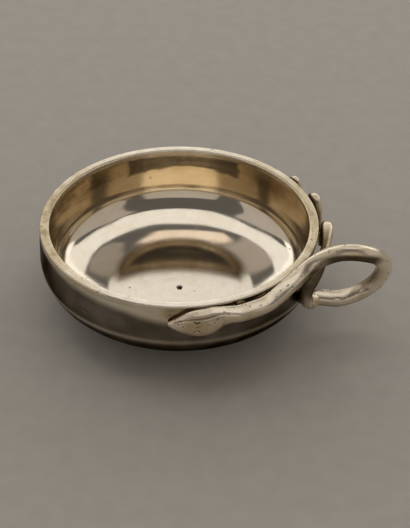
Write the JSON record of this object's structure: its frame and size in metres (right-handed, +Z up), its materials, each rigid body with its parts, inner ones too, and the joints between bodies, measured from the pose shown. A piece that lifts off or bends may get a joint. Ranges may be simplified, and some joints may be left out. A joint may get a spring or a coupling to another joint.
{
  "type": "tastevin",
  "caption": "Shallow silver wine-tasting cup with a flat lip band and a soldered serpent handle: head by the lip, finger loop standing out, waved tail along the wall.",
  "frame": {"origin": "centre of the flat that the bowl stands on", "axes": "+Z up along the bowl's axis, +X towards the finger loop, the serpent's head on the -Y side"},
  "size_m": [0.1057, 0.0828, 0.0374],
  "materials": {
    "raised_silver": "aged silver, hand raised, tarnished brown under the lip",
    "lip_silver": "aged silver, worn bright, finely scratched",
    "chased_silver": "aged silver, chased, dark in the lines",
    "forged_silver": "aged silver, hand forged, dented and pitted",
    "silver_solder": "silver solder gone dull and brown"
  },
  "bodies": {
    "root": {"bowl": "raised_silver", "lip_band": "lip_silver", "lip_solder": "silver_solder", "serpent_head": "chased_silver", "serpent_loop": "forged_silver", "serpent_tail": "forged_silver", "head_solder": "silver_solder", "neck_solder": "silver_solder", "loop_solder": "silver_solder", "tail_solder": "silver_solder"}
  },
  "joints": []
}
